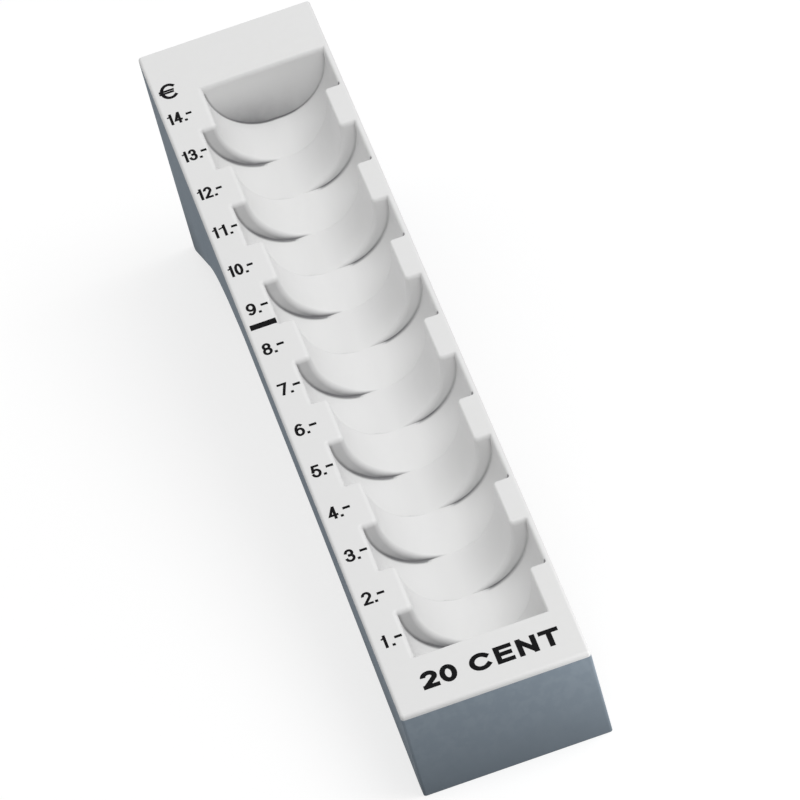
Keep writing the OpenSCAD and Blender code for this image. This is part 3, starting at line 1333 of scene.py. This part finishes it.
@dataclass
class NodeSheet:
    """Nodes of one tree, added and linked by short calls."""

    tree: bpy.types.NodeTree

    def feed(self, socket: Socket, value: Feed) -> None:
        """Links a socket to another, or sets its value."""
        if isinstance(value, bpy.types.NodeSocket):
            self.tree.links.new(value, socket)
        else:
            socket.default_value = value

    def add(self, kind: str, feeds: dict[str, Feed] | None = None) -> bpy.types.Node:
        """Adds a node with its inputs by name."""
        node = self.tree.nodes.new(kind)
        for name, value in (feeds or {}).items():
            self.feed(node.inputs[name], value)
        return node

    def calc(self, operation: str, a: Feed, b: Feed) -> Socket:
        """Result of a sum with two values."""
        node = self.tree.nodes.new("ShaderNodeMath")
        node.operation = operation
        self.feed(node.inputs[0], a)
        self.feed(node.inputs[1], b)
        return node.outputs[0]

    def noise(self, place: Feed, size: Feed, detail: float) -> Socket:
        """Noise between 0 and 1 with patches of a size in millimetres."""
        scale = self.calc("DIVIDE", 1 / MM, size) if isinstance(size, Socket) else 1 / (size * MM)
        return self.add("ShaderNodeTexNoise", {"Vector": place, "Scale": scale, "Detail": detail}).outputs[0]

    def uneven(self, place: Feed, size: Feed, detail: float, least: float, spread: float) -> Socket:
        """Noise that spreads upwards from a least value."""
        patches = self.noise(place, size, detail)
        return self.calc("ADD", self.calc("MULTIPLY", patches, spread), least)

    def attribute(self, name: str) -> Socket:
        """Value of an attribute of the mesh."""
        node = self.tree.nodes.new("ShaderNodeAttribute")
        node.attribute_name = name
        return node.outputs["Fac"]

    def ramp(self, value: Feed, low: float, high: float) -> Socket:
        """Share of the way of a value from low to high, between 0 and 1."""
        feeds = {"Value": value, "From Min": low, "From Max": high}
        return self.add("ShaderNodeMapRange", feeds).outputs[0]

    def blend(self, factor: Feed, a: Feed, b: Feed) -> Socket:
        """Mix of two colours."""
        node = self.tree.nodes.new("ShaderNodeMix")
        node.data_type = "RGBA"
        sockets = {socket.identifier: socket for socket in node.inputs}
        for name, value in (("Factor_Float", factor), ("A_Color", a), ("B_Color", b)):
            self.feed(sockets[name], value)
        return next(socket for socket in node.outputs if socket.identifier == "Result_Color")

    def group(self, tree: bpy.types.NodeTree, feeds: dict[str, Feed]) -> bpy.types.Node:
        """Adds a shared effect with its inputs by name."""
        node = self.tree.nodes.new("ShaderNodeGroup")
        node.node_tree = tree
        for name, value in feeds.items():
            self.feed(node.inputs[name], value)
        return node


FLOAT, VECTOR, COLOR = "NodeSocketFloat", "NodeSocketVector", "NodeSocketColor"


@dataclass
class Effects:
    """Shader effects that the finishes share."""

    fine_detail: float = 3.0
    patch_detail: float = 2.0
    wear_patch: float = 1.6
    wear_breaks: Flat = (0.42, 0.62)
    rub_patch: float = 2.5
    rub_power: float = 1.4
    rub_least: float = 0.8
    rub_spread: float = 0.4
    drift_breaks: Flat = (0.3, 0.7)
    fine_share: float = 0.5
    soil_patch: float = 6.0
    soil_least: float = 0.85
    soil_spread: float = 0.3

    @property
    def gloss_middle(self) -> float:
        """Middle value of the grain's gloss."""
        return (1 - self.fine_share) / 2

    def __post_init__(self) -> None:
        """Makes the node groups."""
        self.soil = self.make_soil()
        self.grain = self.make_grain()
        self.wear = self.make_wear()
        self.rub = self.make_rub()
        self.drift = self.make_drift()

    def start(self, name: str, inputs: dict[str, str], outputs: dict[str, str]) -> tuple[NodeSheet, Any, Any]:
        """Starts a group.

        Args:
            name: Its name.
            inputs: Socket type of each input by name.
            outputs: Socket type of each output by name.

        Returns:
            The group's sheet, its input node and its output node.
        """
        tree = bpy.data.node_groups.new(name, "ShaderNodeTree")
        for way, sockets in (("INPUT", inputs), ("OUTPUT", outputs)):
            for socket, kind in sockets.items():
                tree.interface.new_socket(name=socket, in_out=way, socket_type=kind)
        return NodeSheet(tree), tree.nodes.new("NodeGroupInput"), tree.nodes.new("NodeGroupOutput")

    def make_grain(self) -> bpy.types.NodeTree:
        """Fine grain of a mould's surface, with patches that are more or less worn smooth."""
        sheet, given, result = self.start("mould_grain", {"Place": VECTOR, "Grain": FLOAT, "Patch": FLOAT},
                                          {"Height": FLOAT, "Gloss": FLOAT})
        place = given.outputs["Place"]
        fine = sheet.noise(place, given.outputs["Grain"], self.fine_detail)
        patch = sheet.noise(place, given.outputs["Patch"], self.patch_detail)
        sheet.feed(result.inputs["Height"], fine)
        rough = sheet.calc("MULTIPLY", fine, self.fine_share)
        sheet.feed(result.inputs["Gloss"], sheet.calc("SUBTRACT", patch, rough))
        return sheet.tree

    def make_soil(self) -> bpy.types.NodeTree:
        """Soil that thickens towards the foot, a little uneven."""
        sheet, given, result = self.start("painted_foot_shade", {"Place": VECTOR, "Reach": FLOAT, "Amount": FLOAT},
                                          {"Mask": FLOAT})
        place = given.outputs["Place"]
        height = sheet.add("ShaderNodeSeparateXYZ", {"Vector": place}).outputs["Z"]
        share = sheet.calc("DIVIDE", height, sheet.calc("MULTIPLY", given.outputs["Reach"], MM))
        low = sheet.calc("MAXIMUM", sheet.calc("SUBTRACT", 1.0, share), 0.0)
        uneven = sheet.uneven(place, self.soil_patch, self.patch_detail, self.soil_least, self.soil_spread)
        mask = sheet.calc("MULTIPLY", sheet.calc("MULTIPLY", low, uneven), given.outputs["Amount"])
        sheet.feed(result.inputs["Mask"], mask)
        return sheet.tree

    def make_wear(self) -> bpy.types.NodeTree:
        """Wear along the outer edges, broken up in patches."""
        sheet, given, result = self.start("edge_wear", {"Place": VECTOR, "Amount": FLOAT}, {"Mask": FLOAT})
        patches = sheet.noise(given.outputs["Place"], self.wear_patch, self.fine_detail)
        worn = sheet.calc("MULTIPLY", sheet.attribute(EDGE_ATTRIBUTE), sheet.ramp(patches, *self.wear_breaks))
        mask = sheet.calc("MULTIPLY", worn, given.outputs["Amount"])
        sheet.feed(result.inputs["Mask"], mask)
        return sheet.tree

    def make_rub(self) -> bpy.types.NodeTree:
        """Grey marks that coins rub into the corners of the channel, a little uneven."""
        sheet, given, result = self.start("painted_shade", {"Place": VECTOR, "Amount": FLOAT}, {"Mask": FLOAT})
        uneven = sheet.uneven(given.outputs["Place"], self.rub_patch, self.fine_detail, self.rub_least,
                              self.rub_spread)
        mark = sheet.calc("POWER", sheet.attribute(SHADE_ATTRIBUTE), self.rub_power)
        mask = sheet.calc("MULTIPLY", sheet.calc("MULTIPLY", mark, uneven), given.outputs["Amount"])
        sheet.feed(result.inputs["Mask"], sheet.calc("MINIMUM", mask, 1.0))
        return sheet.tree

    def make_drift(self) -> bpy.types.NodeTree:
        """Slow drift of a colour between two tones."""
        sheet, given, result = self.start("tone_drift", {"Place": VECTOR, "Patch": FLOAT, "Tone": COLOR,
                                                         "Other": COLOR}, {"Color": COLOR})
        slow = sheet.noise(given.outputs["Place"], given.outputs["Patch"], self.patch_detail)
        drifted = sheet.ramp(slow, *self.drift_breaks)
        color = sheet.blend(drifted, given.outputs["Tone"], given.outputs["Other"])
        sheet.feed(result.inputs["Color"], color)
        return sheet.tree


@dataclass(frozen=True, kw_only=True)
class Finish:
    """What the finishes share.

    Attributes:
        name: Name of the material.
        color: Its colour.
        roughness: Roughness of the surface.
        gloss_range: How far the roughness varies.
        grain: Size of the grain in millimetres.
        depth: Depth of the grain in millimetres.
        patch: Size of the patches that are more or less smooth, in millimetres.
        drift_patch: Size of the patches in which the tone drifts, in millimetres.
        specular: How strongly the surface mirrors, where 0.5 is a plain plastic.
    """

    name: str
    color: Color
    roughness: float
    gloss_range: float
    grain: float
    depth: float
    patch: float
    drift_patch: float
    specular: float

    def tone(self, sheet: NodeSheet, effects: Effects, place: Socket, other: tuple[float, ...]) -> Socket:
        """Colour that drifts slowly to another one."""
        feeds = {"Place": place, "Patch": self.drift_patch, "Tone": (*self.color, 1.0), "Other": other}
        return sheet.group(effects.drift, feeds).outputs["Color"]

    def dress(self, sheet: NodeSheet, effects: Effects, place: Socket,
              gloss: Socket) -> tuple[Socket, Socket]:
        """Adds what is particular to the finish.

        Args:
            sheet: The material's nodes.
            effects: The shared effects.
            place: The place on the piece.
            gloss: The grain's gloss.

        Returns:
            The colour and the roughness.
        """
        raise NotImplementedError

    def material(self, effects: Effects) -> bpy.types.Material:
        """Material of the finish, with the shared effects."""
        material = bpy.data.materials.new(self.name)
        material.use_nodes = True
        sheet = NodeSheet(material.node_tree)
        shader = sheet.tree.nodes["Principled BSDF"]
        place = sheet.tree.nodes.new("ShaderNodeTexCoord").outputs["Object"]
        grain = sheet.group(effects.grain, {"Place": place, "Grain": self.grain, "Patch": self.patch}).outputs
        color, roughness = self.dress(sheet, effects, place, grain["Gloss"])
        relief = {"Height": grain["Height"], "Distance": self.depth * MM, "Strength": 1.0}
        sheet.feed(shader.inputs["Base Color"], color)
        sheet.feed(shader.inputs["Roughness"], roughness)
        sheet.feed(shader.inputs["Specular IOR Level"], self.specular)
        sheet.feed(shader.inputs["Normal"], sheet.add("ShaderNodeBump", relief).outputs["Normal"])
        return material


@dataclass(frozen=True, kw_only=True)
class PlasticFinish(Finish):
    """A moulded plastic with a fine mould grain, a slow drift of its tone and a little wear on its edges.

    Attributes:
        drift_tint: What the colour is multiplied by where it drifts furthest.
        wear: How strong the wear is.
        wear_tint: What the colour is multiplied by on worn edges.
        shade: How strong the painted shade in the channel is.
        rub_tint: What the colour is multiplied by in that painted shade.
        soil: How strong the painted shade towards the foot is.
        soil_tint: What the colour is multiplied by in that painted shade.
        soil_reach: Height up to which it reaches, in millimetres.
    """

    drift_tint: Color
    wear: float
    wear_tint: Color
    rub: float = 0.0
    rub_tint: Color = (0.28, 0.28, 0.29)
    soil: float = 0.0
    soil_tint: Color = (0.66, 0.66, 0.66)
    soil_reach: float = 16.0
    patch: float = 14.0
    drift_patch: float = 28.0

    def tinted(self, tint: Color) -> tuple[float, ...]:
        """The colour multiplied by a tint, with full alpha."""
        return (*(c * t for c, t in zip(self.color, tint)), 1.0)

    def dress(self, sheet: NodeSheet, effects: Effects, place: Socket,
              gloss: Socket) -> tuple[Socket, Socket]:
        """Wears the edges smooth, and adds the painted shade in the channel and towards the foot where the
        finish has them.
        """
        wear = sheet.group(effects.wear, {"Place": place, "Amount": self.wear}).outputs["Mask"]
        color = self.tone(sheet, effects, place, self.tinted(self.drift_tint))
        color = sheet.blend(wear, color, self.tinted(self.wear_tint))
        # Painted shade in the channel's corners, on its step faces and low on its end walls.
        if self.rub:
            marks = sheet.group(effects.rub, {"Place": place, "Amount": self.rub}).outputs["Mask"]
            color = sheet.blend(marks, color, self.tinted(self.rub_tint))
        # Painted shade: darker towards the foot.
        if self.soil:
            soil = sheet.group(effects.soil, {"Place": place, "Reach": self.soil_reach, "Amount": self.soil})
            color = sheet.blend(soil.outputs["Mask"], color, self.tinted(self.soil_tint))
        centred = sheet.calc("SUBTRACT", gloss, effects.gloss_middle)
        varied = sheet.calc("MULTIPLY", centred, self.gloss_range)
        smoothed = sheet.calc("SUBTRACT", varied, sheet.calc("MULTIPLY", wear, self.gloss_range))
        return color, sheet.calc("ADD", smoothed, self.roughness)


@dataclass(frozen=True, kw_only=True)
class InkFinish(Finish):
    """Pad-printed ink, whose colour is paler where it is thin."""

    thin_color: Color

    def dress(self, sheet: NodeSheet, effects: Effects, place: Socket,
              gloss: Socket) -> tuple[Socket, Socket]:
        """Thins the ink in places."""
        varied = sheet.calc("MULTIPLY", gloss, self.gloss_range)
        color = self.tone(sheet, effects, place, (*self.thin_color, 1.0))
        return color, sheet.calc("ADD", varied, self.roughness)


@dataclass(frozen=True)
class Lamp:
    """A soft lamp that is aimed at the part, with its place and size in metres."""

    name: str
    at: Point
    size: float
    energy: float
    aim: Point = (0.0, 0.0, 0.03)

    def add(self) -> None:
        """Adds the lamp to the scene."""
        data = bpy.data.lights.new(self.name, "AREA")
        data.shape = "RECTANGLE"
        data.size = self.size
        data.size_y = self.size
        data.energy = self.energy
        lamp = bpy.data.objects.new(self.name, data)
        lamp.location = self.at
        lamp.visible_camera = False
        lamp.rotation_euler = (Vector(self.aim) - lamp.location).to_track_quat("-Z", "Y").to_euler()
        bpy.context.scene.collection.objects.link(lamp)


@dataclass
class Studio:
    """Pale floor, soft light and the camera."""

    camera_at: Point = (-70.16, -965.73, 673.65)
    azimuth: float = 4.466
    elevation: float = 34.257
    roll: float = 16.441
    lens: float = 304.06
    sensor: float = 36.0
    floor_half: float = 3.0
    floor_drop: float = 0.02
    floor_color: Color = (0.3, 0.3, 0.3)
    floor_roughness: float = 0.9
    floor_glow: float = 0.72
    room_light: float = 0.55
    lamps: tuple[Lamp, ...] = (
        Lamp("key_softbox", at=(0.5, -0.17, 1.0), size=0.7, energy=6.0),
        Lamp("near_fill", at=(0.05, -0.12, 0.011), size=0.014, energy=0.0105, aim=(0.012, -0.09, 0.014)),
    )

    def camera(self) -> None:
        """Sets the camera at the photograph's viewing angle."""
        data = bpy.data.cameras.new("view")
        data.lens = self.lens
        data.sensor_width = self.sensor
        view = bpy.data.objects.new("view", data)
        bpy.context.scene.collection.objects.link(view)
        around, down, roll = (math.radians(a) for a in (self.azimuth, self.elevation, self.roll))
        flat = math.cos(down)
        ahead = Vector((math.sin(around) * flat, math.cos(around) * flat, -math.sin(down)))
        level = ahead.cross(Vector((0, 0, 1))).normalized()
        below = ahead.cross(level)
        right = level * math.cos(roll) + below * math.sin(roll)
        up = level * math.sin(roll) - below * math.cos(roll)
        turn = Matrix((right, up, -ahead)).transposed().to_4x4()
        view.matrix_world = Matrix.Translation(Vector(self.camera_at) * MM) @ turn
        bpy.context.scene.camera = view

    def seen(self, sheet: NodeSheet) -> Socket:
        """1 for rays that show the background, straight or in a reflection, and 0 for those that light."""
        path = sheet.tree.nodes.new("ShaderNodeLightPath").outputs
        mirrored = sheet.calc("MAXIMUM", path["Is Glossy Ray"], path["Is Transmission Ray"])
        return sheet.calc("MAXIMUM", path["Is Camera Ray"], mirrored)

    def floor(self) -> None:
        """Adds the pale floor, which keeps a soft shadow."""
        bm = bmesh.new()
        bmesh.ops.create_grid(bm, x_segments=1, y_segments=1, size=self.floor_half)
        bmesh.ops.translate(bm, verts=bm.verts, vec=(0.0, 0.0, -self.floor_drop * MM))
        floor = object_from(bm, "floor")
        material = bpy.data.materials.new("floor_pale")
        material.use_nodes = True
        sheet = NodeSheet(material.node_tree)
        shader = sheet.tree.nodes["Principled BSDF"]
        shader.inputs["Base Color"].default_value = (*self.floor_color, 1.0)
        shader.inputs["Roughness"].default_value = self.floor_roughness
        shader.inputs["Emission Color"].default_value = WHITE_LIGHT
        glow = sheet.calc("MULTIPLY", self.seen(sheet), self.floor_glow)
        sheet.feed(shader.inputs["Emission Strength"], glow)
        floor.data.materials.append(material)
        floor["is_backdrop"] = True

    def light(self) -> None:
        """Adds the white room and the soft lamps."""
        world = bpy.data.worlds.new("room")
        world.use_nodes = True
        sheet = NodeSheet(world.node_tree)
        background = sheet.tree.nodes["Background"]
        background.inputs["Color"].default_value = WHITE_LIGHT
        shown = sheet.calc("MULTIPLY", self.seen(sheet), 1 - self.room_light)
        sheet.feed(background.inputs["Strength"], sheet.calc("ADD", shown, self.room_light))
        bpy.context.scene.world = world
        for lamp in self.lamps:
            lamp.add()

    def set_up(self) -> None:
        """Sets the whole scene round the part."""
        bpy.context.scene.view_settings.view_transform = "Standard"
        self.camera()
        self.floor()
        self.light()


# The tray's finish carries painted shade in the channel.
WHITE = PlasticFinish(name="tray_white", color=(0.8, 0.8, 0.8), drift_tint=(0.985, 0.985, 0.98),
                      wear_tint=(1.02, 1.02, 1.02), roughness=0.42, gloss_range=0.12, grain=0.35,
                      depth=0.0015, wear=0.35, specular=0.4, rub=0.75)
# The stand's blue-grey is partly its own colour and partly painted shade: it is set as dark as its sides look
# in shade.
GREY = PlasticFinish(name="stand_grey", color=(0.27, 0.322, 0.374), drift_tint=(0.985, 0.99, 1.0),
                     wear_tint=(1.2, 1.18, 1.16), roughness=0.7, gloss_range=0.07, grain=0.3,
                     # Painted shade towards the stand's foot.
                     depth=0.0025, wear=0.4, specular=0.08, soil=1.0)
INK = InkFinish(name="print_black", color=(0.004, 0.004, 0.0045), thin_color=(0.009, 0.009, 0.01),
                roughness=0.5, gloss_range=0.15, grain=0.15, depth=0.002, patch=0.8, drift_patch=0.8,
                specular=0.04)


def write_sizes() -> None:
    boxes = {"cad": CAD_BOX, "visual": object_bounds()}
    rows = {name: [list(corner) for corner in box] for name, box in boxes.items()}


def place_piece(piece: bpy.types.Object, node: str | None = None, slot: Slot | None = None) -> None:
    """Attaches a piece to the part's one body and hides the node it replaces.

    Args:
        piece: The piece.
        node: The node that it stands for, if any.
        slot: The record's material slot, if it has one. Not used.
    """
    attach(piece, "root")
    if node:
        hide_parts(node)
    LOG.info("%s with %d faces", piece.name, len(piece.data.polygons))


def main() -> None:
    """Builds the pieces, dresses them and sets the scene."""
    logging.basicConfig(level=logging.INFO)
    Studio().set_up()
    effects = Effects()
    ink = INK.material(effects)
    slope = Slope(near_y=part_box("stand")[0].y / MM)
    tray = ChannelTray(slope)
    legend = Legend(tray)
    place_piece(tray.build(WHITE.material(effects)), "channel_tray", Slot.TRAY)
    place_piece(Stand(slope, tray.half_w).build(GREY.material(effects)), "stand", Slot.STAND)
    place_piece(legend.build_scale(ink))
    place_piece(legend.build_value(ink))
    write_sizes()


if __name__ == "__main__":
    main()
